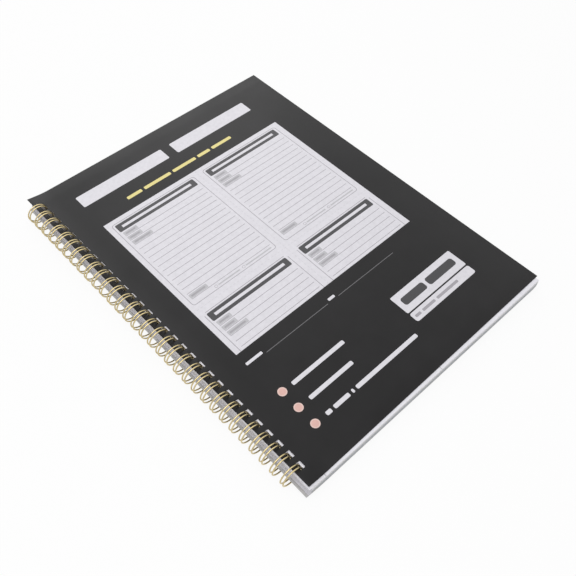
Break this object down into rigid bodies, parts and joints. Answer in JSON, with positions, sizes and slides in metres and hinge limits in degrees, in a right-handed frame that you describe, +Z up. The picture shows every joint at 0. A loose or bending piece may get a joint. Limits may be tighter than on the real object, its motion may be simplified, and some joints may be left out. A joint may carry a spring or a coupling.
{
  "type": "duplicate memo book",
  "caption": "Wire-bound duplicate memo book: black card cover, white and yellow carbonless sheets in sets, grey back board, and a twin-loop wire through punched holes.",
  "frame": {"origin": "on the table, under the middle of the shut book's outline", "axes": "+X from the spine to the fore edge, +Y from the foot to the head, +Z up"},
  "size_m": [0.2196, 0.282, 0.0145],
  "materials": {
    "cover_card": "satin black print",
    "grey_board": "raw greyboard",
    "gold_wire": "pale gold coated steel",
    "white_paper": "uncoated carbonless",
    "yellow_paper": "uncoated carbonless"
  },
  "bodies": {
    "block": {"back_board": "grey_board", "wire_binding": "gold_wire", "white_sheet_02": "white_paper", "white_sheet_03": "white_paper", "white_sheet_04": "white_paper", "white_sheet_05": "white_paper", "white_sheet_06": "white_paper", "white_sheet_07": "white_paper", "white_sheet_08": "white_paper", "white_sheet_09": "white_paper", "white_sheet_10": "white_paper", "white_sheets_remaining": "white_paper", "yellow_sheet_02": "yellow_paper", "yellow_sheet_03": "yellow_paper", "yellow_sheet_04": "yellow_paper", "yellow_sheet_05": "yellow_paper", "yellow_sheet_06": "yellow_paper", "yellow_sheet_07": "yellow_paper", "yellow_sheet_08": "yellow_paper", "yellow_sheet_09": "yellow_paper", "yellow_sheet_10": "yellow_paper", "yellow_sheets_remaining": "yellow_paper"},
    "first_set": {"white_sheet_01": "white_paper", "yellow_sheet_01": "yellow_paper"},
    "cover": {"front_cover": "cover_card"}
  },
  "joints": [
    {"name": "first_set_turn", "type": "hinge", "parent": "block", "child": "first_set", "pos_m": [-0.10255, -0.00064, 0.00725], "axis": [0, 1, 0], "range_deg": [-180, 0]},
    {"name": "cover_turn", "type": "hinge", "parent": "first_set", "child": "cover", "pos_m": [-0.10255, -0.00064, 0.00725], "axis": [0, -1, 0], "range_deg": [0, 180]}
  ]
}
